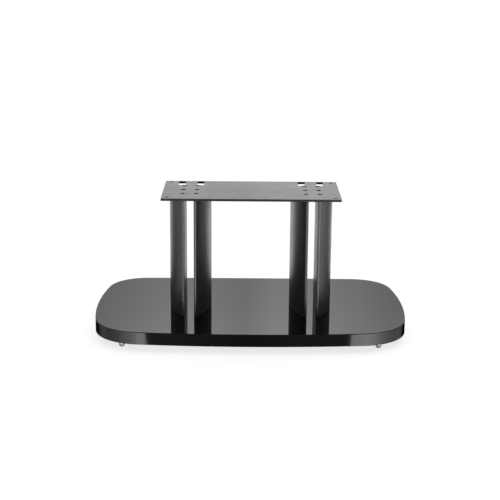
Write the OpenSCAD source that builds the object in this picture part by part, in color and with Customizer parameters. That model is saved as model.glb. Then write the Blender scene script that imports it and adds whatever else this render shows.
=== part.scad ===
// Low stand for a wide centre loudspeaker: a bowed slab plinth on four screw feet,
// two pairs of half-teardrop columns with a cable gap in each pair, and a steel top plate.
// Millimetres. +Z is up and -Y is the front. The origin is on the floor, under the plinth's centre.

/* [Plinth] */
// Width of the plinth from end to end
plinth_w = 804; // [700:2:1000]
// Depth of the plinth from front to back
plinth_d = 500; // [440:5:620]
// Thickness of the plinth slab
plinth_t = 32; // [26:1:45]
// Radius of the shallow bow along the front edge
front_bow_r = 3000; // [1800:10:5000]
// Radius of the very shallow bow along the back edge
back_bow_r = 20000; // [5000:100:25000]
// Radius of the bow across each end
end_bow_r = 915; // [600:5:1500]
// Radius of the two front corners
front_corner_r = 125; // [90:1:150]
// Radius of the two back corners
back_corner_r = 102; // [80:1:140]
// Radius of the polished edge round the top
top_edge_r = 2; // [1:0.5:5]
// Bevel round the underside
bottom_bevel = 1; // [0.5:0.5:3]

/* [Columns] */
// Length of each column
column_h = 304; // [200:1:600]
// Distance from the stand's middle to the middle of each pair
pair_x = 156; // [130:1:170]
// Gap for cables between the two columns of a pair
pair_gap = 24; // [16:1:40]
// Distance of the columns' widest line behind the plinth's centre
column_y = 3; // [-10:1:10]
// Greatest thickness of one column, measured across from its flat face
column_w = 42; // [36:1:50]
// Distance from the widest line to the blunt nose
nose_len = 111; // [90:1:115]
// Radius of the long flank between the nose and the widest line
flank_r = 185; // [180:1:230]
// Wall thickness of the column
column_wall = 3; // [2:0.5:4]
// Solid length behind the nose
nose_solid = 14; // [10:1:25]
// Thickness of the gasket under each column
gasket_t = 2; // [1:0.5:4]
// Amount by which the gasket stands back inside the column's outline
gasket_inset = 0.5; // [0.2:0.1:1]

/* [Top plate] */
// Width of the top plate
plate_w = 450; // [430:5:560]
// Depth of the top plate
plate_d = 220; // [210:5:300]
// Thickness of the top plate
plate_t = 6; // [5:0.5:10]
// Distance of the plate's centre behind the plinth's centre
plate_y = -17; // [-20:1:-10]
// Radius of the plate's corners
plate_corner_r = 2; // [1:0.5:10]
// Bore of the four corner holes for the loudspeaker's bolts
speaker_hole_d = 9; // [6:0.5:11]
// Distance of the corner holes from the plate's ends
speaker_hole_in_x = 15; // [12:1:20]
// Distance of the corner holes from the plate's front and back edges
speaker_hole_in_y = 17; // [12:1:20]
// Width of each cable hole
cable_hole_w = 19; // [12:1:22]
// Length of each cable hole
cable_hole_l = 48; // [24:1:50]
// Radius of the cable holes' corners
cable_hole_r = 4; // [2:0.5:5]
// Distance between the two cable holes behind a pair
cable_hole_pitch = 48; // [44:1:60]
// Plate left between a cable hole and the back edge
cable_hole_edge = 5; // [4:0.5:8]

/* [Fasteners] */
// Thread diameter of the column screws, top and bottom
screw_d = 6; // [5:0.5:6]
// Distance between the three screws of a column
screw_pitch = 48; // [40:1:50]
// Distance of the middle screw in front of the column's widest line
screw_middle = 20; // [14:1:26]
// Distance of the screws behind the column's flat face
screw_in = 5.5; // [5.5:0.5:7]
// Outer diameter of the screw port inside a column
port_d = 10; // [9:0.5:11]
// Head diameter of the countersunk plate screws
plate_screw_head_d = 12; // [11:0.5:13]
// Head height of the countersunk plate screws
plate_screw_head_h = 3.3; // [3:0.1:4]
// Depth of the plate screws' heads below the plate's face
plate_screw_sink = 1; // [0.5:0.1:1.2]
// Length of the plate screws with their heads
plate_screw_l = 25; // [18:1:40]
// Key size of the plate screws
plate_screw_key = 4; // [3:0.5:4]
// Head diameter of the base screws
base_screw_head_d = 10; // [9:0.5:11]
// Head height of the base screws
base_screw_head_h = 6; // [5:0.5:6]
// Length of the base screws under their heads
base_screw_l = 40; // [38:1:60]
// Key size of the base screws
base_screw_key = 5; // [4:0.5:5]
// Depth of the sunk seats under the plinth
base_seat_h = 9; // [8.5:0.5:12]
// Outer diameter of the washers
washer_d = 12; // [11:0.5:13]
// Thickness of the washers
washer_t = 1.6; // [1:0.1:2]

/* [Feet] */
// Height of the plinth's underside above the floor with the feet screwed right in
foot_h = 18; // [18:1:24]
// Distance of the feet inside the plinth's ends
foot_in_x = 82; // [70:1:120]
// Distance of the feet inside the plinth's front and back edges
foot_in_y = 53; // [50:1:80]
// Diameter of the domed foot
dome_d = 14.6; // [13:0.2:18]
// Height of the domed foot
dome_h = 8; // [8:0.5:9]
// Diameter of the flat that meets the floor
dome_flat_d = 6; // [5:0.5:8]
// Thread diameter of the foot's stem
stem_d = 8; // [7:0.5:8]
// Length of the stem's thread above the plinth's underside with the foot screwed right in
stem_reach = 22; // [18:1:24]
// Width across the flats of the stem's collar
collar_key = 11; // [10:0.5:12]
// Thickness of the stem's collar
collar_t = 4; // [3:0.5:4]
// Width across the flats of the lock nut
nut_key = 13; // [12:0.5:14]
// Thickness of the lock nut
nut_t = 4; // [3:0.5:5]
// Outer diameter of the threaded insert
insert_d = 12; // [11:0.5:13]
// Length of the threaded insert
insert_l = 16; // [14:1:18]
// Diameter of the insert's flange
insert_flange_d = 17; // [15:0.5:20]
// Thickness of the insert's flange
insert_flange_t = 1.2; // [1:0.1:2]

/* [Fits] */
// Radial gap between a screw and the thread or port it sits in
thread_gap = 0.05; // [0.02:0.01:0.1]
// Radial gap round a screw that passes through a piece
pass_gap = 0.3; // [0.1:0.05:0.5]
// Radial gap of the stem's neck in the domed foot
swivel_gap = 0.06; // [0.03:0.01:0.1]
// Gap between the collar and the top of the domed foot
collar_gap = 0.3; // [0.2:0.05:0.5]

/* [Hidden] */

round_steps = 72;
corner_steps = 14;
end_steps = 5;
bow_steps = 9;
edge_steps = 3;
dome_steps = 9;
overrun = 0.5;
outer_side = 1;
inner_side = -1;

// Heights, from the floor up
plinth_top = foot_h + plinth_t;
column_bottom = plinth_top + gasket_t;
column_top = column_bottom + column_h;
plate_top = column_top + plate_t;

// Places that repeat
screw_r = screw_d / 2;
flat_gap = pair_gap / 2;
screw_rows = [for (k = [-1, 0, 1]) column_y - screw_middle + k * screw_pitch];
screw_offset = flat_gap + screw_in;
foot_places = [
    for (sy = [-1, 1]) for (sx = [-1, 1])
        [sx * (plinth_w / 2 - foot_in_x), sy * (plinth_d / 2 - foot_in_y)]
];

// Plate screws
plate_screw_top = plate_top - plate_screw_sink;
plate_head_bottom = plate_screw_top - plate_screw_head_h;
head_gap = pass_gap / 2;
head_seat_r = plate_screw_head_d / 2 + head_gap;

// Base screws hang in sunk seats, on their washers
seat_top = foot_h + base_seat_h;
seat_r = washer_d / 2 + pass_gap;
washer_bottom = seat_top - washer_t;
socket_share = 0.55;

// Feet
stem_r = stem_d / 2;
dome_r = dome_d / 2;
dome_flat_r = dome_flat_d / 2;
dome_centre_h = sqrt(dome_r * dome_r - dome_flat_r * dome_flat_r);
collar_bottom = dome_h + collar_gap;
collar_top = collar_bottom + collar_t;
stem_top = foot_h + stem_reach;
stem_hole_end = 2;
neck_share = 0.62;
button_share = 0.86;
neck_r = stem_r * neck_share;
button_r = stem_r * button_share;
button_t = 1.4;
button_bottom = 3.2;

paint_black = "#1c1c1e";
satin_black = "#2c2d30";
rubber_black = "#18181a";
plate_grey = "#4a4b4e";
screw_black = "#222224";
zinc = "#b9bcc0";
brass_yellow = "#b59b55";
nickel = "#cfd1d2";

// Points along an arc of the given centre and radius, both ends included
function arc(centre, r, a0, a1, steps) = [
    for (k = [0 : steps])
        let (a = a0 + (a1 - a0) * k / steps)
        centre + r * [cos(a), sin(a)]
];
function mirrored(points, sx, sy) = [for (p = points) [sx * p[0], sy * p[1]]];
function reversed(points) = [for (k = [len(points) - 1 : -1 : 0]) points[k]];
function without_last(points) = [for (k = [0 : len(points) - 2]) points[k]];
function without_first(points) = [for (k = [1 : len(points) - 1]) points[k]];

// One quarter of the plinth's outline, from the middle of the end to the middle of the long
// edge: the end's bow, a corner tangent to both bows, then the long edge's bow.
function quarter(bow_r, corner_r, inset) =
    let (
        bow_c = [0, plinth_d / 2 - bow_r],
        end_c = [plinth_w / 2 - end_bow_r, 0],
        reach_1 = bow_r - corner_r,
        reach_2 = end_bow_r - corner_r,
        span = norm(end_c - bow_c),
        along = (end_c - bow_c) / span,
        near = (reach_1 * reach_1 - reach_2 * reach_2 + span * span) / (2 * span),
        side = sqrt(reach_1 * reach_1 - near * near),
        corner_c = bow_c + along * near + side * [along[1], -along[0]],
        end_a = atan2(corner_c[1] - end_c[1], corner_c[0] - end_c[0]),
        bow_a = atan2(corner_c[1] - bow_c[1], corner_c[0] - bow_c[0])
    )
    concat(
        arc(end_c, end_bow_r - inset, 0, end_a, end_steps),
        without_first(arc(corner_c, corner_r - inset, end_a, bow_a, corner_steps)),
        without_first(arc(bow_c, bow_r - inset, bow_a, 90, bow_steps))
    );

// The whole outline, drawn in by the inset
function plinth_outline(inset) =
    let (
        back = quarter(back_bow_r, back_corner_r, inset),
        front = quarter(front_bow_r, front_corner_r, inset)
    )
    concat(
        without_last(back),
        without_last(reversed(mirrored(back, -1, 1))),
        without_last(mirrored(front, -1, -1)),
        without_last(reversed(mirrored(front, 1, -1)))
    );

function at_height(points, z) = [for (p = points) [p[0], p[1], z]];

// A closed solid through rings of equal count, lowest first
module skin(rings) {
    count = len(rings[0]);
    last = len(rings) - 1;
    polyhedron(
        points = [for (ring = rings) each ring],
        faces = concat(
            [[for (k = [0 : count - 1]) k]],
            [for (level = [0 : last - 1]) for (k = [0 : count - 1])
                let (next = (k + 1) % count, low = level * count, high = low + count)
                [low + k, high + k, high + next, low + next]],
            [[for (k = [count - 1 : -1 : 0]) last * count + k]]
        )
    );
}

module tube(outer_r, inner_r, h) {
    difference() {
        cylinder(r = outer_r, h = h, $fn = round_steps);
        translate([0, 0, -overrun])
            cylinder(r = inner_r, h = h + 2 * overrun, $fn = round_steps);
    }
}

module hexagon(key, h) {
    cylinder(r = key / 2 / cos(30), h = h, $fn = 6);
}

module rounded_rectangle(w, d, r) {
    square([w - 2 * r, d], center = true);
    square([w, d - 2 * r], center = true);
    for (sx = [-1, 1])
        for (sy = [-1, 1])
            translate([sx * (w / 2 - r), sy * (d / 2 - r)])
                circle(r = r, $fn = round_steps);
}

// Puts its children at the twelve screws of the columns
module at_screws() {
    for (side = [-1, 1])
        for (s = [-1, 1])
            for (y = screw_rows)
                translate([side * pair_x + s * screw_offset, y])
                    children();
}

module at_feet() {
    for (place = foot_places)
        translate(place)
            children();
}

// Half a teardrop, cut down its length: the flat face on x = 0, a long flank that runs
// forward to the blunt nose, and a quarter round at the back. The inset draws it in.
module half_teardrop(inset, flat_inset, nose_inset) {
    intersection() {
        translate([column_w - flank_r, 0])
            circle(r = flank_r - inset, $fn = round_steps * 4);
        translate([flat_inset, nose_inset - nose_len])
            square([column_w, nose_len - nose_inset]);
    }
    intersection() {
        circle(r = column_w - inset, $fn = round_steps * 2);
        translate([flat_inset, 0])
            square([column_w, column_w]);
    }
}

// A column's cross-section, with its three screw ports along the flat wall
module column_section() {
    difference() {
        half_teardrop(0, 0, 0);
        difference() {
            half_teardrop(column_wall, column_wall, nose_solid);
            at_ports() circle(d = port_d, $fn = round_steps);
        }
        at_ports() circle(r = screw_r + thread_gap, $fn = round_steps);
    }
}

module at_ports() {
    for (y = screw_rows)
        translate([screw_in, y - column_y])
            children();
}

// Sets a cross-section on the right pair: outer side faces away from the middle
module on_right_pair(side) {
    translate([pair_x + side * flat_gap, column_y])
        mirror([side == inner_side ? 1 : 0, 0])
            children();
}

module column(side) {
    color(satin_black)
        translate([0, 0, column_bottom])
            linear_extrude(column_h)
                on_right_pair(side) column_section();
}

module gasket(side) {
    translate([0, 0, plinth_top])
        linear_extrude(gasket_t)
            on_right_pair(side)
                difference() {
                    half_teardrop(gasket_inset, gasket_inset, gasket_inset);
                    at_ports() circle(r = screw_r + pass_gap, $fn = round_steps);
                }
}

module plinth() {
    rings = concat(
        [
            at_height(plinth_outline(bottom_bevel), foot_h),
            at_height(plinth_outline(0), foot_h + bottom_bevel)
        ],
        [for (k = [0 : edge_steps])
            let (a = 90 * k / edge_steps)
            at_height(
                plinth_outline(top_edge_r * (1 - cos(a))),
                plinth_top - top_edge_r * (1 - sin(a))
            )]
    );
    color(paint_black)
        difference() {
            skin(rings);
            translate([0, 0, foot_h - overrun])
                at_screws() {
                    cylinder(r = screw_r + pass_gap, h = plinth_t + 2 * overrun, $fn = round_steps);
                    cylinder(r = seat_r, h = base_seat_h + overrun, $fn = round_steps);
                }
            translate([0, 0, foot_h - overrun])
                at_feet() {
                    cylinder(
                        r = stem_r + pass_gap,
                        h = stem_reach + stem_hole_end + overrun,
                        $fn = round_steps
                    );
                    cylinder(
                        r = insert_d / 2 + thread_gap,
                        h = insert_l + overrun,
                        $fn = round_steps
                    );
                    cylinder(
                        r = insert_flange_d / 2 + thread_gap,
                        h = insert_flange_t + overrun,
                        $fn = round_steps
                    );
                }
        }
}

module column_outer_right() {
    column(outer_side);
}

module column_inner_right() {
    column(inner_side);
}

module column_outer_left() {
    mirror([1, 0, 0]) column(outer_side);
}

module column_inner_left() {
    mirror([1, 0, 0]) column(inner_side);
}

module column_gaskets() {
    color(rubber_black)
        for (hand = [0, 1])
            mirror([hand, 0, 0])
                for (side = [inner_side, outer_side])
                    gasket(side);
}

module top_plate() {
    hole_x = plate_w / 2 - speaker_hole_in_x;
    hole_y = plate_d / 2 - speaker_hole_in_y;
    cable_y = plate_y + plate_d / 2 - cable_hole_edge - cable_hole_l / 2;
    color(plate_grey)
        difference() {
            translate([0, 0, column_top])
                linear_extrude(plate_t)
                    difference() {
                        translate([0, plate_y])
                            rounded_rectangle(plate_w, plate_d, plate_corner_r);
                        for (sx = [-1, 1])
                            for (sy = [-1, 1])
                                translate([sx * hole_x, plate_y + sy * hole_y])
                                    circle(d = speaker_hole_d, $fn = round_steps);
                        for (side = [-1, 1])
                            for (s = [-1, 1])
                                translate([side * pair_x + s * cable_hole_pitch / 2, cable_y])
                                    rounded_rectangle(cable_hole_w, cable_hole_l, cable_hole_r);
                    }
            at_screws() {
                translate([0, 0, column_top - overrun])
                    cylinder(r = screw_r + pass_gap, h = plate_t + 2 * overrun, $fn = round_steps);
                translate([0, 0, plate_head_bottom])
                    cylinder(
                        r1 = screw_r + head_gap,
                        r2 = head_seat_r,
                        h = plate_screw_head_h,
                        $fn = round_steps
                    );
                translate([0, 0, plate_screw_top])
                    cylinder(r = head_seat_r, h = plate_screw_sink + overrun, $fn = round_steps);
            }
        }
}

// Countersunk screws through the plate into the tops of the columns' ports, sunk a little
// below the plate's face
module plate_screws() {
    color(screw_black)
        at_screws()
            difference() {
                union() {
                    translate([0, 0, plate_screw_top - plate_screw_l])
                        cylinder(r = screw_r, h = plate_screw_l, $fn = round_steps);
                    translate([0, 0, plate_head_bottom])
                        cylinder(
                            r1 = screw_r,
                            r2 = plate_screw_head_d / 2,
                            h = plate_screw_head_h,
                            $fn = round_steps
                        );
                }
                translate([0, 0, plate_screw_top - plate_screw_head_h * socket_share])
                    hexagon(plate_screw_key, plate_screw_head_h);
            }
}

// Cap screws up through the plinth and gaskets into the bottoms of the columns' ports
module base_screws() {
    color(zinc)
        at_screws()
            difference() {
                union() {
                    translate([0, 0, washer_bottom - base_screw_head_h])
                        cylinder(d = base_screw_head_d, h = base_screw_head_h, $fn = round_steps);
                    translate([0, 0, washer_bottom - overrun])
                        cylinder(r = screw_r, h = base_screw_l + overrun, $fn = round_steps);
                }
                translate([0, 0, washer_bottom - base_screw_head_h - overrun])
                    hexagon(base_screw_key, base_screw_head_h * socket_share + overrun);
            }
}

module base_washers() {
    color(zinc)
        translate([0, 0, washer_bottom])
            at_screws()
                tube(washer_d / 2, screw_r + pass_gap, washer_t);
}

module foot_inserts() {
    color(brass_yellow)
        translate([0, 0, foot_h])
            at_feet()
                difference() {
                    union() {
                        cylinder(d = insert_d, h = insert_l, $fn = round_steps);
                        cylinder(d = insert_flange_d, h = insert_flange_t, $fn = round_steps);
                    }
                    translate([0, 0, -overrun])
                        cylinder(r = stem_r + thread_gap, h = insert_l + 2 * overrun, $fn = round_steps);
                }
}

module lock_nuts() {
    color(zinc)
        translate([0, 0, foot_h - nut_t])
            at_feet()
                difference() {
                    hexagon(nut_key, nut_t);
                    translate([0, 0, -overrun])
                        cylinder(r = stem_r + thread_gap, h = nut_t + 2 * overrun, $fn = round_steps);
                }
}

// The domed foot: a ball cut flat where it meets the floor, with a plain band above. It stays
// still on the floor while the stem turns in it.
module foot_dome(place) {
    lowest_a = -acos(dome_flat_r / dome_r);
    outer = arc([0, dome_centre_h], dome_r, lowest_a, 0, dome_steps);
    color(nickel)
        translate(place)
            difference() {
                rotate_extrude($fn = round_steps)
                    polygon(concat([[0, 0]], outer, [[dome_r, dome_h], [0, dome_h]]));
                translate([0, 0, button_bottom - collar_gap])
                    cylinder(
                        r = button_r + swivel_gap,
                        h = button_t + 2 * collar_gap,
                        $fn = round_steps
                    );
                translate([0, 0, button_bottom])
                    cylinder(r = neck_r + swivel_gap, h = dome_h, $fn = round_steps);
            }
}

// The foot's stem: a button held in the dome, a neck, a hexagon collar and the thread
module foot_stem(place) {
    color(zinc)
        translate(place) {
            translate([0, 0, button_bottom])
                cylinder(r = button_r, h = button_t, $fn = round_steps);
            translate([0, 0, button_bottom])
                cylinder(r = neck_r, h = collar_bottom - button_bottom + overrun, $fn = round_steps);
            translate([0, 0, collar_bottom])
                hexagon(collar_key, collar_t);
            translate([0, 0, collar_top - overrun])
                cylinder(r = stem_r, h = stem_top - collar_top + overrun, $fn = round_steps);
        }
}

module foot_dome_front_left() {
    foot_dome(foot_places[0]);
}

module foot_dome_front_right() {
    foot_dome(foot_places[1]);
}

module foot_dome_back_left() {
    foot_dome(foot_places[2]);
}

module foot_dome_back_right() {
    foot_dome(foot_places[3]);
}

module foot_stem_front_left() {
    foot_stem(foot_places[0]);
}

module foot_stem_front_right() {
    foot_stem(foot_places[1]);
}

module foot_stem_back_left() {
    foot_stem(foot_places[2]);
}

module foot_stem_back_right() {
    foot_stem(foot_places[3]);
}

plinth();
column_outer_left();
column_inner_left();
column_inner_right();
column_outer_right();
column_gaskets();
top_plate();
plate_screws();
base_screws();
base_washers();
foot_inserts();
lock_nuts();
foot_dome_front_left();
foot_dome_front_right();
foot_dome_back_left();
foot_dome_back_right();
foot_stem_front_left();
foot_stem_front_right();
foot_stem_back_left();
foot_stem_back_right();
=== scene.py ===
"""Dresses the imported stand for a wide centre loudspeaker: a gloss lacquered slab on four
screw feet, two pairs of half-teardrop aluminium columns and a powder-coated top plate.
Metres. +Z is up and -Y is the front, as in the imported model."""

import math

import bmesh
import bpy
from mathutils import Matrix, Vector


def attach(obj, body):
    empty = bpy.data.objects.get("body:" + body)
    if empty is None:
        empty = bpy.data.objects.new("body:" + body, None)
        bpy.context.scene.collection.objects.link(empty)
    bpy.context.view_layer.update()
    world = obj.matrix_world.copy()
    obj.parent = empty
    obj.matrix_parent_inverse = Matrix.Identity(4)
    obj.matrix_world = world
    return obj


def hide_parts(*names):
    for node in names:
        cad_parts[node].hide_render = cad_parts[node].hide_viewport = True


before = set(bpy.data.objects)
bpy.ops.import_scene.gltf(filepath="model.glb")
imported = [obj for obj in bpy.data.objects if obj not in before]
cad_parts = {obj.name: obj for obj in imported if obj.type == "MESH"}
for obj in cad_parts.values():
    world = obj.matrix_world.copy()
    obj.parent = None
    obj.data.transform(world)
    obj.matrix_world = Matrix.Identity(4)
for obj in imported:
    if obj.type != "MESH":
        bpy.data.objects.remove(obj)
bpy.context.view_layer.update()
MM = 0.001
UP = (0, 0, 1)
BODY = "stand"
ROUND = 64

# Sizes, as in the part's source
PLINTH_W, PLINTH_D = 804 * MM, 500 * MM
PLINTH_LOW, PLINTH_TOP = 18 * MM, 50 * MM
FRONT_BOW, BACK_BOW, END_BOW = 3000 * MM, 20000 * MM, 915 * MM
FRONT_CORNER, BACK_CORNER = 125 * MM, 102 * MM
TOP_EDGE, LOW_EDGE = 2 * MM, 1 * MM

COLUMN_LOW, COLUMN_TOP = 52 * MM, 356 * MM
PAIR_X, FLAT_GAP, COLUMN_Y = 156 * MM, 12 * MM, 3 * MM
COLUMN_W, NOSE, FLANK, WALL, NOSE_SOLID = 42 * MM, 111 * MM, 185 * MM, 3 * MM, 14 * MM
NOSE_EDGE, TIP_EDGE = 2 * MM, 0.8 * MM

PLATE_W, PLATE_D, PLATE_Y, PLATE_CORNER = 450 * MM, 220 * MM, -17 * MM, 2 * MM
PLATE_TOP = 362 * MM
BOLT_HOLE_R, BOLT_HOLE_X, BOLT_HOLE_Y = 4.5 * MM, 210 * MM, 93 * MM
CABLE_W, CABLE_L, CABLE_PITCH, CABLE_Y = 19 * MM, 48 * MM, 48 * MM, 64 * MM
CABLE_CORNER = 4 * MM

SCREW_R, SCREW_IN = 3 * MM, 17.5 * MM
SCREW_ROWS = (-65 * MM, -17 * MM, 31 * MM)
HEAD_R, HEAD_H, HEAD_TOP, SCREW_L, SCREW_KEY = 6 * MM, 3.3 * MM, 361 * MM, 25 * MM, 4 * MM
SEAT_R, SEAT_TOP, PASS_R = 6.3 * MM, 27 * MM, 3.3 * MM

FOOT_X, FOOT_Y = 320 * MM, 197 * MM
DOME_R, DOME_FLAT_R, DOME_TOP = 7.3 * MM, 3 * MM, 8 * MM
DOME_NECK_R, SOCKET_R, SOCKET_LOW, SOCKET_TOP = 2.54 * MM, 3.5 * MM, 2.9 * MM, 4.9 * MM
STEM_R, STEM_TOP, COLLAR_LOW, COLLAR_TOP, COLLAR_KEY = 4 * MM, 40 * MM, 8.3 * MM, 12.3 * MM, 11 * MM
NECK_R, BUTTON_R, BUTTON_LOW, BUTTON_TOP = 2.48 * MM, 3.44 * MM, 3.2 * MM, 4.6 * MM
NUT_KEY, NUT_LOW, NUT_TOP = 13 * MM, 14 * MM, 18 * MM
THREAD_PITCH, THREAD_DEPTH = 1.25 * MM, 0.7 * MM
INSERT_R, INSERT_TOP, FLANGE_R, FLANGE_TOP = 6.05 * MM, 34 * MM, 8.55 * MM, 19.2 * MM

FEET = {
    "front_left": (-FOOT_X, -FOOT_Y),
    "front_right": (FOOT_X, -FOOT_Y),
    "back_left": (-FOOT_X, FOOT_Y),
    "back_right": (FOOT_X, FOOT_Y),
}
SCREWS = [
    (side * PAIR_X + s * SCREW_IN, y) for side in (-1, 1) for s in (-1, 1) for y in SCREW_ROWS
]


# Materials
def linear(code):
    """The linear colour of an sRGB hex code."""
    parts = [int(code[k : k + 2], 16) / 255 for k in (1, 3, 5)]
    return [p / 12.92 if p <= 0.04045 else ((p + 0.055) / 1.055) ** 2.4 for p in parts] + [1]


def add(tree, kind, settings, inputs):
    """Adds a node with its settings. An input is a number, a colour or another node's socket."""
    node = tree.nodes.new(kind)
    for name, value in settings.items():
        setattr(node, name, value)
    for name, value in inputs.items():
        if isinstance(value, bpy.types.NodeSocket):
            tree.links.new(value, node.inputs[name])
        else:
            node.inputs[name].default_value = value
    return node


def finish_named(name):
    """An empty node tree for a finish, with its output and the piece's own coordinates."""
    finish = bpy.data.materials.new(name)
    finish.use_nodes = True
    tree = finish.node_tree
    tree.nodes.clear()
    out = add(tree, "ShaderNodeOutputMaterial", {}, {})
    place = add(tree, "ShaderNodeTexCoord", {}, {}).outputs["Object"]
    return finish, tree, out, place


def stops(node, pairs):
    """Sets a colour ramp to these positions and sRGB codes or grey levels."""
    ramp = node.color_ramp
    ramp.elements.remove(ramp.elements[1])
    ramp.elements[0].position = pairs[0][0]
    for position, _ in pairs[1:]:
        ramp.elements.new(position)
    for element, (_, value) in zip(ramp.elements, pairs):
        element.color = linear(value) if isinstance(value, str) else (value, value, value, 1)
    return node


def lacquer():
    # Black polyester lacquer on fibreboard, sprayed, flatted and polished. The eye sees a deep
    # black with mirror reflections that ripple a little, and the faint haze of polishing.
    finish, tree, out, place = finish_named("polished_black_lacquer")
    ripple = add(
        tree,
        "ShaderNodeTexNoise",
        {},
        {"Vector": place, "Scale": 1 / (14 * MM), "Detail": 1.0},
    )
    haze = add(
        tree,
        "ShaderNodeTexNoise",
        {},
        {"Vector": place, "Scale": 1 / (90 * MM), "Detail": 4.0},
    )
    rough = add(
        tree,
        "ShaderNodeMapRange",
        {},
        {
            "Value": haze.outputs["Fac"],
            "From Min": 0.3,
            "From Max": 0.7,
            "To Min": 0.02,
            "To Max": 0.05,
        },
    )
    bump = add(
        tree,
        "ShaderNodeBump",
        {},
        {"Height": ripple.outputs["Fac"], "Strength": 0.04, "Distance": 0.2 * MM},
    )
    tint = stops(
        add(tree, "ShaderNodeValToRGB", {}, {"Fac": haze.outputs["Fac"]}),
        [(0.3, "#050506"), (0.7, "#070708")],
    )
    shader = add(
        tree,
        "ShaderNodeBsdfPrincipled",
        {},
        {
            "Base Color": tint.outputs["Color"],
            "Roughness": rough.outputs["Result"],
            "IOR": 1.5,
            "Normal": bump.outputs["Normal"],
        },
    )
    tree.links.new(shader.outputs["BSDF"], out.inputs["Surface"])
    return finish


def powder_coat(name, deep, pale, smooth, coarse, grain_mm, bump_mm):
    # Polyester powder, sprayed and baked. The eye sees a satin skin with a fine pebble, broad
    # soft highlights and hardly any change of colour. The real pebble is about 0.2 mm wide and
    # is drawn at 0.7 to 1 mm, so that it shows.
    finish, tree, out, place = finish_named(name)
    pebble = add(
        tree,
        "ShaderNodeTexNoise",
        {},
        {"Vector": place, "Scale": 1 / (grain_mm * MM), "Detail": 2.0},
    )
    drift = add(
        tree,
        "ShaderNodeTexNoise",
        {},
        {"Vector": place, "Scale": 1 / (60 * MM), "Detail": 3.0},
    )
    tint = stops(
        add(tree, "ShaderNodeValToRGB", {}, {"Fac": pebble.outputs["Fac"]}),
        [(0.3, deep), (0.7, pale)],
    )
    rough = add(
        tree,
        "ShaderNodeMapRange",
        {},
        {
            "Value": drift.outputs["Fac"],
            "From Min": 0.3,
            "From Max": 0.7,
            "To Min": smooth,
            "To Max": coarse,
        },
    )
    bump = add(
        tree,
        "ShaderNodeBump",
        {},
        {"Height": pebble.outputs["Fac"], "Strength": 0.3, "Distance": bump_mm * MM},
    )
    shader = add(
        tree,
        "ShaderNodeBsdfPrincipled",
        {},
        {
            "Base Color": tint.outputs["Color"],
            "Roughness": rough.outputs["Result"],
            "IOR": 1.5,
            "Normal": bump.outputs["Normal"],
        },
    )
    tree.links.new(shader.outputs["BSDF"], out.inputs["Surface"])
    return finish


def plated_metal(name, deep, pale, smooth, coarse, blotch_mm):
    # Steel or brass turned on a lathe, then plated or blackened. The eye sees a bright skin with
    # soft blotches from the bath and a roughness that drifts with them.
    finish, tree, out, place = finish_named(name)
    blotch = add(
        tree,
        "ShaderNodeTexNoise",
        {},
        {"Vector": place, "Scale": 1 / (blotch_mm * MM), "Detail": 3.0},
    )
    scratch = add(
        tree,
        "ShaderNodeTexNoise",
        {},
        {"Vector": place, "Scale": 1 / (0.4 * MM), "Detail": 2.0},
    )
    tint = stops(
        add(tree, "ShaderNodeValToRGB", {}, {"Fac": blotch.outputs["Fac"]}),
        [(0.3, deep), (0.7, pale)],
    )
    rough = add(
        tree,
        "ShaderNodeMapRange",
        {},
        {
            "Value": scratch.outputs["Fac"],
            "From Min": 0.3,
            "From Max": 0.7,
            "To Min": smooth,
            "To Max": coarse,
        },
    )
    shader = add(
        tree,
        "ShaderNodeBsdfPrincipled",
        {},
        {
            "Base Color": tint.outputs["Color"],
            "Metallic": 1.0,
            "Roughness": rough.outputs["Result"],
        },
    )
    tree.links.new(shader.outputs["BSDF"], out.inputs["Surface"])
    return finish


def rubber():
    # Black sheet rubber, calendered and cut. The eye sees a dull, slightly dusty black line.
    finish, tree, out, place = finish_named("black_sheet_rubber")
    dust = add(
        tree,
        "ShaderNodeTexNoise",
        {},
        {"Vector": place, "Scale": 1 / (3 * MM), "Detail": 3.0},
    )
    tint = stops(
        add(tree, "ShaderNodeValToRGB", {}, {"Fac": dust.outputs["Fac"]}),
        [(0.35, "#29292b"), (0.7, "#343436")],
    )
    shader = add(
        tree,
        "ShaderNodeBsdfPrincipled",
        {},
        {"Base Color": tint.outputs["Color"], "Roughness": 0.85, "IOR": 1.52},
    )
    tree.links.new(shader.outputs["BSDF"], out.inputs["Surface"])
    return finish


black_lacquer = lacquer()
column_coat = powder_coat("satin_black_powder_coat", "#28282b", "#303033", 0.3, 0.36, 0.7, 0.01)
plate_coat = powder_coat("graphite_powder_coat", "#212224", "#27282a", 0.22, 0.27, 1.0, 0.013)
blackened_steel = plated_metal("black_oxide_steel", "#1a1a1c", "#242426", 0.3, 0.45, 3)
zinc = plated_metal("bright_zinc_plate", "#aeb2b8", "#c6c9cc", 0.2, 0.34, 5)
brass = plated_metal("turned_brass", "#b0965a", "#c4ab6c", 0.22, 0.36, 4)
nickel = plated_metal("satin_nickel_plate", "#686866", "#787875", 0.44, 0.52, 6)
gasket_rubber = rubber()


# Shaping
def sweep(mesh, start, centre, angle, steps):
    """Draws an arc from a vertex about a centre on the same level, and gives its last vertex."""
    arc = bmesh.ops.spin(
        mesh,
        geom=[start],
        cent=(centre[0], centre[1], start.co.z),
        axis=UP,
        angle=angle,
        steps=steps,
        use_merge=False,
        use_duplicate=False,
    )
    return next(part for part in arc["geom_last"] if isinstance(part, bmesh.types.BMVert))


def fill_and_raise(mesh, height):
    """Fills a closed flat outline and raises it to a slab."""
    bmesh.ops.remove_doubles(mesh, verts=mesh.verts, dist=0.01 * MM)
    bmesh.ops.contextual_create(mesh, geom=mesh.edges[:])
    raised = bmesh.ops.extrude_face_region(mesh, geom=mesh.faces[:])
    top = [part for part in raised["geom"] if isinstance(part, bmesh.types.BMVert)]
    bmesh.ops.translate(mesh, verts=top, vec=(0, 0, height))
    bmesh.ops.recalc_face_normals(mesh, faces=mesh.faces)


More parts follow.
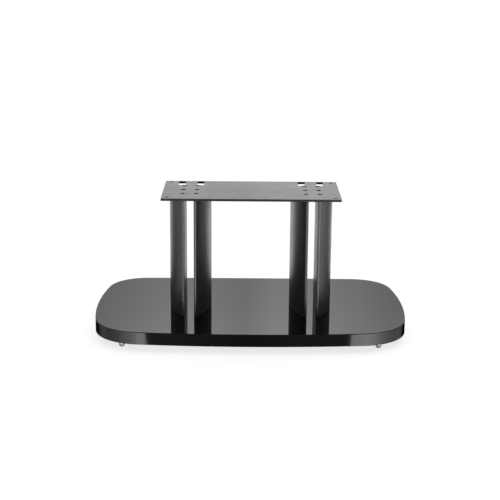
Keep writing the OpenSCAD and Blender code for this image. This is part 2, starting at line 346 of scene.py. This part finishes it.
def ease(mesh, z, width, segments):
    """Rounds the sharp edges that lie at this height."""
    edges = [
        edge
        for edge in mesh.edges
        if all(abs(vertex.co.z - z) < 0.01 * MM for vertex in edge.verts)
        and edge.is_manifold
        and edge.calc_face_angle(0) > math.radians(35)
    ]
    bmesh.ops.bevel(
        mesh,
        geom=edges,
        offset=width,
        segments=segments,
        profile=0.5,
        affect="EDGES",
        material=-1,
        clamp_overlap=True,
    )


def turned(mesh, profile, steps=ROUND):
    """Turns a profile of radii and heights about the Z axis into a closed solid."""
    points = [mesh.verts.new((radius, 0, z)) for radius, z in profile]
    edges = [mesh.edges.new(pair) for pair in zip(points, points[1:])]
    bmesh.ops.spin(
        mesh,
        geom=points + edges,
        cent=(0, 0, 0),
        axis=UP,
        angle=2 * math.pi,
        steps=steps,
        use_merge=True,
        use_duplicate=False,
    )
    bmesh.ops.remove_doubles(mesh, verts=mesh.verts, dist=0.001 * MM)
    bmesh.ops.recalc_face_normals(mesh, faces=mesh.faces)


def hexagon_prism(mesh, key, low, high):
    """A hexagonal prism, measured across its flats."""
    bmesh.ops.create_cone(
        mesh,
        cap_ends=True,
        segments=6,
        radius1=key / 2 / math.cos(math.radians(30)),
        radius2=key / 2 / math.cos(math.radians(30)),
        depth=high - low,
        matrix=Matrix.Translation((0, 0, (low + high) / 2)),
    )


def repeated(mesh, places):
    """Copies what is in the mesh to each place, and keeps no copy at the middle."""
    first = mesh.verts[:] + mesh.edges[:] + mesh.faces[:]
    for place in places:
        copy = bmesh.ops.duplicate(mesh, geom=first)
        moved = [part for part in copy["geom"] if isinstance(part, bmesh.types.BMVert)]
        bmesh.ops.translate(mesh, verts=moved, vec=(place[0], place[1], 0))
    middle = [part for part in first if isinstance(part, bmesh.types.BMVert)]
    bmesh.ops.delete(mesh, geom=middle, context="VERTS")


def made(name, mesh):
    """A Blender object from a bmesh."""
    data = bpy.data.meshes.new(name)
    mesh.to_mesh(data)
    mesh.free()
    piece = bpy.data.objects.new(name, data)
    bpy.context.scene.collection.objects.link(piece)
    return piece


def cut(piece, mesh, operation="DIFFERENCE"):
    """Cuts a piece with the shape in a bmesh, and leaves plain geometry."""
    tool = made("tool", mesh)
    step = piece.modifiers.new("cut", "BOOLEAN")
    step.object, step.operation, step.solver = tool, operation, "EXACT"
    shown = bpy.context.evaluated_depsgraph_get()
    result = bpy.data.meshes.new_from_object(piece.evaluated_get(shown))
    piece.modifiers.clear()
    piece.data = result
    bpy.data.objects.remove(tool)


def dressed(piece, finish, slot, body, *nodes):
    """Gives a finished piece its material, smooth faces and body, and hides the imported nodes it
    stands in for.
    """
    piece.data.materials.clear()
    piece.data.materials.append(finish)
    for face in piece.data.polygons:
        face.use_smooth = True
    piece.data.set_sharp_from_angle(angle=math.radians(32))
    weights = piece.modifiers.new("even_faces", "WEIGHTED_NORMAL")
    weights.keep_sharp = True
    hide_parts(*nodes)
    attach(piece, body)


# Plinth
def draw_quarter(mesh, bow, corner):
    """Draws a quarter of the plinth's outline: the end's bow, the corner and the long bow."""
    bow_centre = Vector((0, PLINTH_D / 2 - bow))
    end_centre = Vector((PLINTH_W / 2 - END_BOW, 0))
    along = end_centre - bow_centre
    span = along.length
    along.normalize()
    near = ((bow - corner) ** 2 - (END_BOW - corner) ** 2 + span**2) / (2 * span)
    side = math.sqrt((bow - corner) ** 2 - near**2)
    centre = bow_centre + along * near + Vector((along.y, -along.x)) * side
    end_angle = math.atan2(centre.y - end_centre.y, centre.x - end_centre.x)
    bow_angle = math.atan2(centre.y - bow_centre.y, centre.x - bow_centre.x)
    start = bmesh.ops.create_vert(mesh, co=(PLINTH_W / 2, 0, PLINTH_LOW))["vert"][0]
    turn = sweep(mesh, start, end_centre, end_angle, 12)
    turn = sweep(mesh, turn, centre, bow_angle - end_angle, 40)
    sweep(mesh, turn, bow_centre, math.pi / 2 - bow_angle, 20)


def make_plinth():
    mesh = bmesh.new()
    draw_quarter(mesh, FRONT_BOW, FRONT_CORNER)
    bmesh.ops.scale(mesh, vec=(1, -1, 1), verts=mesh.verts)
    draw_quarter(mesh, BACK_BOW, BACK_CORNER)
    half = bmesh.ops.duplicate(mesh, geom=mesh.verts[:] + mesh.edges[:])
    mirrored = [part for part in half["geom"] if isinstance(part, bmesh.types.BMVert)]
    bmesh.ops.scale(mesh, vec=(-1, 1, 1), verts=mirrored)
    fill_and_raise(mesh, PLINTH_TOP - PLINTH_LOW)
    ease(mesh, PLINTH_TOP, TOP_EDGE, 5)
    ease(mesh, PLINTH_LOW, LOW_EDGE, 2)
    slab = made("plinth_slab", mesh)
    below, above = PLINTH_LOW - MM, PLINTH_TOP + MM
    seats = bmesh.new()
    turned(
        seats,
        [
            (0, below),
            (SEAT_R, below),
            (SEAT_R, SEAT_TOP),
            (PASS_R, SEAT_TOP),
            (PASS_R, above),
            (0, above),
        ],
        32,
    )
    repeated(seats, SCREWS)
    cut(slab, seats)
    bores = bmesh.new()
    reach = STEM_TOP + 2 * MM
    clear = STEM_R + 0.3 * MM
    turned(
        bores,
        [
            (0, below),
            (FLANGE_R, below),
            (FLANGE_R, FLANGE_TOP),
            (INSERT_R, FLANGE_TOP),
            (INSERT_R, INSERT_TOP),
            (clear, INSERT_TOP),
            (clear, reach),
            (0, reach),
        ],
        32,
    )
    repeated(bores, FEET.values())
    cut(slab, bores)
    dressed(slab, black_lacquer, "plinth_lacquer", BODY, "plinth")


# Columns
def half_teardrop(mesh, inset, nose_y, low, high):
    """Raises the half teardrop, drawn in by the inset, with its nose cut at nose_y."""
    centre_x = COLUMN_W - FLANK
    radius = FLANK - inset
    nose_x = centre_x + math.sqrt(radius**2 - nose_y**2)
    flat = bmesh.ops.create_vert(mesh, co=(inset, nose_y, low))["vert"][0]
    nose = bmesh.ops.create_vert(mesh, co=(nose_x, nose_y, low))["vert"][0]
    mesh.edges.new((flat, nose))
    widest = sweep(mesh, nose, (centre_x, 0), -math.asin(nose_y / radius), 40)
    back = sweep(mesh, widest, (0, 0), math.acos(inset / (COLUMN_W - inset)), 32)
    mesh.edges.new((back, flat))
    bmesh.ops.contextual_create(mesh, geom=mesh.edges[:])
    if inset == 0:
        bmesh.ops.bevel(
            mesh,
            geom=[flat, nose],
            offset=NOSE_EDGE,
            segments=6,
            profile=0.5,
            affect="VERTICES",
            material=-1,
        )
        tip = Vector((0, COLUMN_W, low))
        ends = [vertex for vertex in mesh.verts if (vertex.co - tip).length < 0.01 * MM]
        bmesh.ops.bevel(
            mesh,
            geom=ends,
            offset=TIP_EDGE,
            segments=4,
            profile=0.5,
            affect="VERTICES",
            material=-1,
        )
    raised = bmesh.ops.extrude_face_region(mesh, geom=mesh.faces[:])
    top = [part for part in raised["geom"] if isinstance(part, bmesh.types.BMVert)]
    bmesh.ops.translate(mesh, verts=top, vec=(0, 0, high - low))
    bmesh.ops.recalc_face_normals(mesh, faces=mesh.faces)


def make_column(node, side, hand):
    mesh = bmesh.new()
    half_teardrop(mesh, 0, -NOSE, COLUMN_LOW, COLUMN_TOP)
    ease(mesh, COLUMN_LOW, 0.4 * MM, 2)
    ease(mesh, COLUMN_TOP, 0.4 * MM, 2)
    column = made(node + "_extrusion", mesh)
    hollow = bmesh.new()
    half_teardrop(hollow, WALL, NOSE_SOLID - NOSE, COLUMN_LOW - MM, COLUMN_TOP + MM)
    cut(column, hollow)
    placed = bmesh.new()
    placed.from_mesh(column.data)
    bmesh.ops.scale(placed, vec=(side, 1, 1), verts=placed.verts)
    bmesh.ops.translate(placed, verts=placed.verts, vec=(PAIR_X + side * FLAT_GAP, COLUMN_Y, 0))
    bmesh.ops.scale(placed, vec=(hand, 1, 1), verts=placed.verts)
    if side * hand < 0:
        bmesh.ops.reverse_faces(placed, faces=placed.faces)
    placed.to_mesh(column.data)
    placed.free()
    dressed(column, column_coat, "column_paint", BODY, node)


# Top plate and its screws
def rounded_slab(mesh, width, depth, corner, low, high):
    """A slab with rounded corners, centred on the Z axis."""
    level = Matrix.Translation((0, 0, low))
    bmesh.ops.create_grid(mesh, x_segments=1, y_segments=1, size=0.5, matrix=level)
    bmesh.ops.scale(mesh, vec=(width, depth, 1), verts=mesh.verts)
    bmesh.ops.bevel(
        mesh,
        geom=mesh.verts[:],
        offset=corner,
        segments=6,
        profile=0.5,
        affect="VERTICES",
        material=-1,
    )
    raised = bmesh.ops.extrude_face_region(mesh, geom=mesh.faces[:])
    top = [part for part in raised["geom"] if isinstance(part, bmesh.types.BMVert)]
    bmesh.ops.translate(mesh, verts=top, vec=(0, 0, high - low))
    bmesh.ops.recalc_face_normals(mesh, faces=mesh.faces)


def make_plate():
    mesh = bmesh.new()
    rounded_slab(mesh, PLATE_W, PLATE_D, PLATE_CORNER, COLUMN_TOP, PLATE_TOP)
    bmesh.ops.translate(mesh, verts=mesh.verts, vec=(0, PLATE_Y, 0))
    plate = made("top_plate_sheet", mesh)
    below, above = COLUMN_TOP - MM, PLATE_TOP + MM

    holes = bmesh.new()
    turned(holes, [(0, below), (BOLT_HOLE_R, below), (BOLT_HOLE_R, above), (0, above)], 48)
    bolts_x, bolts_y = (-BOLT_HOLE_X, BOLT_HOLE_X), (-BOLT_HOLE_Y, BOLT_HOLE_Y)
    repeated(holes, [(x, PLATE_Y + y) for x in bolts_x for y in bolts_y])
    cut(plate, holes)

    slots = bmesh.new()
    rounded_slab(slots, CABLE_W, CABLE_L, CABLE_CORNER, below, above)
    slots_x = [side * PAIR_X + s * CABLE_PITCH / 2 for side in (-1, 1) for s in (-1, 1)]
    repeated(slots, [(x, CABLE_Y) for x in slots_x])
    cut(plate, slots)

    sinks = bmesh.new()
    gap = 0.15 * MM
    turned(
        sinks,
        [
            (0, below),
            (PASS_R, below),
            (PASS_R, HEAD_TOP - HEAD_H + gap),
            (HEAD_R + gap, HEAD_TOP),
            (HEAD_R + gap, above),
            (0, above),
        ],
        48,
    )
    repeated(sinks, SCREWS)
    cut(plate, sinks)

    edged = bmesh.new()
    edged.from_mesh(plate.data)
    ease(edged, PLATE_TOP, 0.3 * MM, 2)
    ease(edged, COLUMN_TOP, 0.3 * MM, 2)
    edged.to_mesh(plate.data)
    edged.free()
    dressed(plate, plate_coat, "plate_paint", BODY, "top_plate")


def make_plate_screws():
    mesh = bmesh.new()
    turned(
        mesh,
        [
            (0, HEAD_TOP - SCREW_L),
            (SCREW_R - 0.6 * MM, HEAD_TOP - SCREW_L),
            (SCREW_R, HEAD_TOP - SCREW_L + 0.6 * MM),
            (SCREW_R, HEAD_TOP - HEAD_H),
            (HEAD_R, HEAD_TOP - 0.3 * MM),
            (HEAD_R - 0.3 * MM, HEAD_TOP),
            (0, HEAD_TOP),
        ],
        48,
    )
    screw = made("plate_screws_countersunk", mesh)
    socket = bmesh.new()
    hexagon_prism(socket, SCREW_KEY, HEAD_TOP - 1.8 * MM, HEAD_TOP + MM)
    cut(screw, socket)
    entry = bmesh.new()
    turned(
        entry,
        [
            (0, HEAD_TOP - 1.2 * MM),
            (SCREW_KEY / 2, HEAD_TOP - 0.5 * MM),
            (SCREW_KEY / 2 + MM, HEAD_TOP + 0.5 * MM),
            (0, HEAD_TOP + 0.5 * MM),
        ],
        48,
    )
    cut(screw, entry)
    whole = bmesh.new()
    whole.from_mesh(screw.data)
    repeated(whole, SCREWS)
    whole.to_mesh(screw.data)
    whole.free()
    dressed(screw, blackened_steel, "black_screw_steel", BODY, "plate_screws")


# Feet
def make_dome(where, place):
    centre = math.sqrt(DOME_R**2 - DOME_FLAT_R**2)
    lowest = math.asin(-centre / DOME_R)
    steps = 16
    angles = [lowest * (1 - k / steps) for k in range(steps + 1)]
    outer = [(DOME_R * math.cos(a), centre + DOME_R * math.sin(a)) for a in angles]
    mesh = bmesh.new()
    turned(
        mesh,
        [
            (0, 0),
            *outer,
            (DOME_R, DOME_TOP - 0.4 * MM),
            (DOME_R - 0.15 * MM, DOME_TOP - 0.12 * MM),
            (DOME_R - 0.45 * MM, DOME_TOP),
            (DOME_NECK_R + 0.2 * MM, DOME_TOP),
            (DOME_NECK_R, DOME_TOP - 0.2 * MM),
            (DOME_NECK_R, SOCKET_TOP),
            (SOCKET_R, SOCKET_TOP),
            (SOCKET_R, SOCKET_LOW),
            (0, SOCKET_LOW),
        ],
    )
    bmesh.ops.translate(mesh, verts=mesh.verts, vec=(*place, 0))
    dome = made("foot_dome_" + where + "_turned", mesh)
    dressed(dome, nickel, "foot_nickel", "dome_" + where, "foot_dome_" + where)


def make_stem(where, place):
    stem_low, root_r = COLLAR_TOP - 0.5 * MM, STEM_R - THREAD_DEPTH
    mesh = bmesh.new()
    turned(
        mesh,
        [
            (0, BUTTON_LOW),
            (BUTTON_R - 0.2 * MM, BUTTON_LOW),
            (BUTTON_R, BUTTON_LOW + 0.2 * MM),
            (BUTTON_R, BUTTON_TOP),
            (NECK_R, BUTTON_TOP),
            (NECK_R, COLLAR_LOW + 0.1 * MM),
            (0, COLLAR_LOW + 0.1 * MM),
        ],
        48,
    )
    turned_core = bmesh.new()
    turned(
        turned_core,
        [
            (0, stem_low),
            (root_r, stem_low),
            (root_r, STEM_TOP - 0.6 * MM),
            (root_r - 0.6 * MM, STEM_TOP),
            (0, STEM_TOP),
        ],
        48,
    )
    core = bpy.data.meshes.new("core")
    turned_core.to_mesh(core)
    turned_core.free()
    mesh.from_mesh(core)
    bpy.data.meshes.remove(core)

    # The thread: one tooth swept up a right-hand helix round the core
    turns = (STEM_TOP - COLLAR_TOP - 0.6 * MM - THREAD_PITCH) / THREAD_PITCH
    steps = round(turns * 36)
    low = COLLAR_TOP - 0.1 * MM
    tooth = [
        mesh.verts.new((root_r - 0.05 * MM, 0, low)),
        mesh.verts.new((STEM_R, 0, low + 0.42 * THREAD_PITCH)),
        mesh.verts.new((STEM_R, 0, low + 0.56 * THREAD_PITCH)),
        mesh.verts.new((root_r - 0.05 * MM, 0, low + 0.98 * THREAD_PITCH)),
    ]
    sides = [mesh.edges.new(pair) for pair in zip(tooth, tooth[1:] + tooth[:1])]
    mesh.faces.new(tooth)
    swept = bmesh.ops.spin(
        mesh,
        geom=sides,
        cent=(0, 0, 0),
        axis=UP,
        dvec=(0, 0, turns * THREAD_PITCH / steps),
        angle=2 * math.pi * turns,
        steps=steps,
        use_merge=False,
        use_duplicate=False,
    )
    rim = [part for part in swept["geom_last"] if isinstance(part, bmesh.types.BMEdge)]
    bmesh.ops.contextual_create(mesh, geom=rim)
    bmesh.ops.recalc_face_normals(mesh, faces=mesh.faces)

    collar = bmesh.new()
    hexagon_prism(collar, COLLAR_KEY, COLLAR_LOW, COLLAR_TOP)
    block = made("foot_stem_" + where + "_threaded", collar)
    barrel = bmesh.new()
    chamfer_barrel(barrel, COLLAR_KEY, COLLAR_LOW, COLLAR_TOP)
    cut(block, barrel, "INTERSECT")
    mesh.from_mesh(block.data)
    bmesh.ops.translate(mesh, verts=mesh.verts, vec=(*place, 0))
    mesh.to_mesh(block.data)
    mesh.free()
    dressed(block, zinc, "zinc_steel", "stem_" + where, "foot_stem_" + where)


def chamfer_barrel(mesh, key, low, high):
    """The turned barrel that takes the corners off a hexagon, 30 degrees at each end."""
    face_r, middle = 0.475 * key, (low + high) / 2
    widest = face_r + (high - low) / 2 / math.tan(math.radians(30))
    turned(mesh, [(0, low), (face_r, low), (widest, middle), (face_r, high), (0, high)], 72)


def make_lock_nuts():
    hexagon = bmesh.new()
    hexagon_prism(hexagon, NUT_KEY, NUT_LOW, NUT_TOP)
    nuts = made("lock_nuts_chamfered", hexagon)
    barrel = bmesh.new()
    chamfer_barrel(barrel, NUT_KEY, NUT_LOW, NUT_TOP)
    cut(nuts, barrel, "INTERSECT")
    bore = bmesh.new()
    clear = STEM_R + 0.05 * MM
    below, above = NUT_LOW - MM, NUT_TOP + MM
    turned(
        bore,
        [
            (0, below),
            (clear + 1.4 * MM, below),
            (clear, NUT_LOW + 0.4 * MM),
            (clear, NUT_TOP - 0.4 * MM),
            (clear + 1.4 * MM, above),
            (0, above),
        ],
        48,
    )
    cut(nuts, bore)
    whole = bmesh.new()
    whole.from_mesh(nuts.data)
    repeated(whole, FEET.values())
    whole.to_mesh(nuts.data)
    whole.free()
    dressed(nuts, zinc, "zinc_steel", BODY, "lock_nuts")


make_plinth()
for node, side, hand in (
    ("column_outer_left", 1, -1),
    ("column_inner_left", -1, -1),
    ("column_inner_right", -1, 1),
    ("column_outer_right", 1, 1),
):
    make_column(node, side, hand)
make_plate()
make_plate_screws()
for where, place in FEET.items():
    make_dome(where, place)
    make_stem(where, place)
make_lock_nuts()
for node, finish in (
    ("column_gaskets", gasket_rubber),
    ("base_screws", zinc),
    ("base_washers", zinc),
    ("foot_inserts", brass),
):
    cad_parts[node].data.materials.clear()
    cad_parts[node].data.materials.append(finish)


# Camera, fitted to the outlines in the photograph, in metres and radians
CAMERA_PLACE = (-0.0153, -3.0655, 1.0085)
YAW, PITCH, ROLL = 0.00445, 0.258375, 0.0080148
LENS_MM, SENSOR_MM = 87.435, 36


def place_camera():
    yaw, pitch, roll = YAW, PITCH, ROLL
    level = Vector((math.sin(yaw), math.cos(yaw), 0)) * math.cos(pitch)
    ahead = level - Vector(UP) * math.sin(pitch)
    across = Vector((math.cos(yaw), -math.sin(yaw), 0))
    above = across.cross(ahead)
    right = across * math.cos(roll) + above * math.sin(roll)
    top = above * math.cos(roll) - across * math.sin(roll)
    data = bpy.data.cameras.new("camera")
    data.lens, data.sensor_width = LENS_MM, SENSOR_MM
    data.clip_start, data.clip_end = 0.1, 200
    camera = bpy.data.objects.new("camera", data)
    aimed = Matrix((right, top, -ahead)).transposed().to_4x4()
    camera.matrix_world = Matrix.Translation(CAMERA_PLACE) @ aimed
    bpy.context.scene.collection.objects.link(camera)
    bpy.context.scene.camera = camera


# Studio
FLOOR_REACH = 60
CARD_W, CARD_H, CARD_Y, CARD_Z = 3, 0.74, 0.95, -0.15
SOFT_LIGHT, WALL_LIGHT, LIGHT_SCALE = 0.5, 2.6, 8
SUN_STRENGTH, SUN_SPREAD = 1.2, math.radians(70)


def make_floor():
    mesh = bmesh.new()
    bmesh.ops.create_grid(mesh, x_segments=1, y_segments=1, size=FLOOR_REACH)
    floor = made("studio_floor", mesh)
    finish, tree, out, _ = finish_named("pale_studio_floor")
    # A pale matt floor. What the camera sees of it is lifted to the white of the photograph's
    # background, and the object's soft shadow stays on it.
    path = add(tree, "ShaderNodeLightPath", {}, {}).outputs
    seen = path["Is Camera Ray"]
    lift = add(tree, "ShaderNodeMath", {"operation": "MULTIPLY"}, {0: seen, 1: 0.77})
    matt = add(tree, "ShaderNodeBsdfDiffuse", {}, {"Color": linear("#989898")})
    glow = add(tree, "ShaderNodeEmission", {}, {"Strength": lift.outputs["Value"]})
    both = add(
        tree,
        "ShaderNodeAddShader",
        {},
        {0: matt.outputs["BSDF"], 1: glow.outputs["Emission"]},
    )
    tree.links.new(both.outputs["Shader"], out.inputs["Surface"])
    floor.data.materials.append(finish)
    # The photographed stand mirrors the studio below its own level, and no floor
    floor.visible_glossy = False


def light_studio():
    """White for the camera, an even grey for soft light, and a studio of two large side
    lights, a dark front and a pale wall behind for what the polished surfaces mirror."""
    world = bpy.data.worlds.new("studio")
    bpy.context.scene.world = world
    world.use_nodes = True
    tree = world.node_tree
    tree.nodes.clear()
    way = add(tree, "ShaderNodeTexCoord", {}, {}).outputs["Generated"]
    part = add(tree, "ShaderNodeSeparateXYZ", {}, {"Vector": way}).outputs
    front = add(tree, "ShaderNodeMath", {"operation": "MULTIPLY"}, {0: part["Y"], 1: -1.0})
    turn = add(
        tree,
        "ShaderNodeMath",
        {"operation": "ARCTAN2"},
        {0: part["X"], 1: front.outputs["Value"]},
    )
    share = add(
        tree,
        "ShaderNodeMapRange",
        {},
        {"Value": turn.outputs["Value"], "From Min": -math.pi, "From Max": math.pi},
    )
    # Degrees from the front, negative to the left, and brightness from 0 to LIGHT_SCALE
    low = [
        (-180, 0.1), (-166, 0.03), (-150, 0.03), (-128, 0.12), (-120, 0.3), (-109, 0.62),
        (-89, 0.66), (-60, 1.3), (-47, 1.95), (-34, 2.5), (-17.5, 3.65), (-15, 4.9), (-12, 4.4),
        (0, 2.6), (12, 4.2), (15, 4.6), (18, 5.0), (25, 4.95), (32, 4.65), (48, 3.6), (58, 2.7),
        (69, 2.1), (89, 1.25), (102, 0.92), (115, 0.72), (125, 0.36), (133, 0.2), (142, 0.1),
        (150, 0.04), (180, 0.1),
    ]
    lights = stops(
        add(tree, "ShaderNodeValToRGB", {}, {"Fac": share.outputs["Result"]}),
        [((angle + 180) / 360, level / LIGHT_SCALE) for angle, level in low],
    )
    # The front between the two side lights is dark, with a sharp border
    off_axis = add(tree, "ShaderNodeMath", {"operation": "ABSOLUTE"}, {0: turn.outputs["Value"]})
    gate = add(
        tree,
        "ShaderNodeMapRange",
        {"interpolation_type": "SMOOTHSTEP"},
        {
            "Value": off_axis.outputs["Value"],
            "From Min": math.radians(14.6),
            "From Max": math.radians(14.9),
            "To Min": 0.06,
        },
    )
    gated = add(
        tree,
        "ShaderNodeMath",
        {"operation": "MULTIPLY"},
        {0: lights.outputs["Color"], 1: gate.outputs["Result"]},
    )
    # The side lights are three times as bright in their upper part as at their foot
    boost = add(
        tree,
        "ShaderNodeMapRange",
        {"interpolation_type": "SMOOTHSTEP"},
        {
            "Value": part["Z"],
            "From Min": -0.3,
            "From Max": -0.24,
            "To Min": 0.8 * LIGHT_SCALE,
            "To Max": 2.4 * LIGHT_SCALE,
        },
    )
    lamps = add(
        tree,
        "ShaderNodeMath",
        {"operation": "MULTIPLY"},
        {0: gated.outputs["Value"], 1: boost.outputs["Result"]},
    )
    high = [
        (-180, 0.53), (-177, 0.66), (-175, 0.55), (-173, 0.45), (-166, 0.2), (-155, 0.08),
        (-105, 0.07), (-60, 0.15), (0, 0.1), (60, 0.15), (105, 0.07), (155, 0.08), (166, 0.2),
        (173, 0.46), (175, 0.6), (178, 0.71), (180, 0.53),
    ]
    wall = stops(
        add(tree, "ShaderNodeValToRGB", {}, {"Fac": share.outputs["Result"]}),
        [((angle + 180) / 360, level) for angle, level in high],
    )
    # The wall behind is white up to eye level and shaded above it, up to the ceiling's light
    height = add(
        tree,
        "ShaderNodeMapRange",
        {},
        {"Value": part["Z"], "From Min": -0.5, "From Max": 0.5},
    )
    shade = stops(
        add(tree, "ShaderNodeValToRGB", {}, {"Fac": height.outputs["Result"]}),
        [
            (0.0, 0.9), (0.5, 0.9), (0.65, 0.84), (0.71, 0.82), (0.775, 0.44), (0.8, 0.54),
            (0.825, 0.68), (0.9, 0.68), (1.0, 0.5),
        ],
    )
    lit = add(
        tree,
        "ShaderNodeMath",
        {"operation": "MULTIPLY"},
        {0: shade.outputs["Color"], 1: WALL_LIGHT},
    )
    risen = add(
        tree,
        "ShaderNodeMath",
        {"operation": "MULTIPLY"},
        {0: wall.outputs["Color"], 1: lit.outputs["Value"]},
    )
    # The wall takes over from the side lights just below eye level, a little lower at the back
    lean = add(
        tree,
        "ShaderNodeMath",
        {"operation": "MULTIPLY_ADD"},
        {0: part["Y"], 1: 0.05, 2: part["Z"]},
    )
    level = add(
        tree,
        "ShaderNodeMapRange",
        {"interpolation_type": "SMOOTHSTEP"},
        {"Value": lean.outputs["Value"], "From Min": -0.08, "From Max": 0.0},
    )
    mirrored = add(
        tree,
        "ShaderNodeMix",
        {"data_type": "FLOAT"},
        {
            "Factor": level.outputs["Result"],
            "A": lamps.outputs["Value"],
            "B": risen.outputs["Value"],
        },
    )
    path = add(tree, "ShaderNodeLightPath", {}, {}).outputs
    soft = add(
        tree,
        "ShaderNodeMix",
        {"data_type": "FLOAT"},
        {"Factor": path["Is Glossy Ray"], "A": SOFT_LIGHT, "B": mirrored.outputs[0]},
    )
    seen = add(
        tree,
        "ShaderNodeMix",
        {"data_type": "FLOAT"},
        {"Factor": path["Is Camera Ray"], "A": soft.outputs[0], "B": 1.0},
    )
    white = linear("#ffffff")
    glow = add(tree, "ShaderNodeBackground", {}, {"Color": white, "Strength": seen.outputs[0]})
    out = add(tree, "ShaderNodeOutputWorld", {}, {})
    tree.links.new(glow.outputs["Background"], out.inputs["Surface"])
    world.cycles.sampling_method = "NONE"

    data = bpy.data.lights.new("overhead_light", "SUN")
    data.energy, data.angle = SUN_STRENGTH, SUN_SPREAD
    lamp = bpy.data.objects.new("overhead_light", data)
    lamp.rotation_euler = (math.radians(-14), math.radians(8), 0)
    lamp.visible_glossy = False
    bpy.context.scene.collection.objects.link(lamp)


def stand_card():
    """A pale card close behind the stand, below eye level and seen only as a reflection. The
    columns facing the middle catch more of it than the outer ones."""
    mesh = bmesh.new()
    upright = Matrix.Translation((0, CARD_Y, CARD_Z)) @ Matrix.Rotation(math.radians(90), 4, "X")
    bmesh.ops.create_grid(mesh, x_segments=1, y_segments=1, size=0.5)
    bmesh.ops.scale(mesh, vec=(CARD_W, CARD_H, 1), verts=mesh.verts)
    bmesh.ops.transform(mesh, matrix=upright, verts=mesh.verts)
    card = made("studio_card", mesh)
    finish, tree, out, place = finish_named("glowing_card")
    part = add(tree, "ShaderNodeSeparateXYZ", {}, {"Vector": place}).outputs
    aside = add(tree, "ShaderNodeMath", {"operation": "ABSOLUTE"}, {0: part["X"]})
    across = stops(
        add(tree, "ShaderNodeValToRGB", {}, {"Fac": aside.outputs["Value"]}),
        [
            (0.0, 0.5), (0.15, 0.55), (0.4, 0.8), (0.55, 0.8), (0.65, 0.62), (0.8, 0.36),
            (0.95, 0.2), (1.0, 0.15),
        ],
    )
    upward = add(
        tree,
        "ShaderNodeMapRange",
        {"interpolation_type": "SMOOTHSTEP"},
        {"Value": part["Z"], "From Min": -0.24, "From Max": -0.1, "To Max": 2.0},
    )
    level = add(
        tree,
        "ShaderNodeMath",
        {"operation": "MULTIPLY"},
        {0: across.outputs["Color"], 1: upward.outputs["Result"]},
    )
    glow = add(tree, "ShaderNodeEmission", {}, {"Strength": level.outputs["Value"]})
    tree.links.new(glow.outputs["Emission"], out.inputs["Surface"])
    card.data.materials.append(finish)
    card.visible_camera = False
    card.visible_diffuse = False
    card.visible_transmission = False
    card.visible_shadow = False


place_camera()
make_floor()
stand_card()
light_studio()
bpy.context.scene.view_settings.view_transform = "Standard"
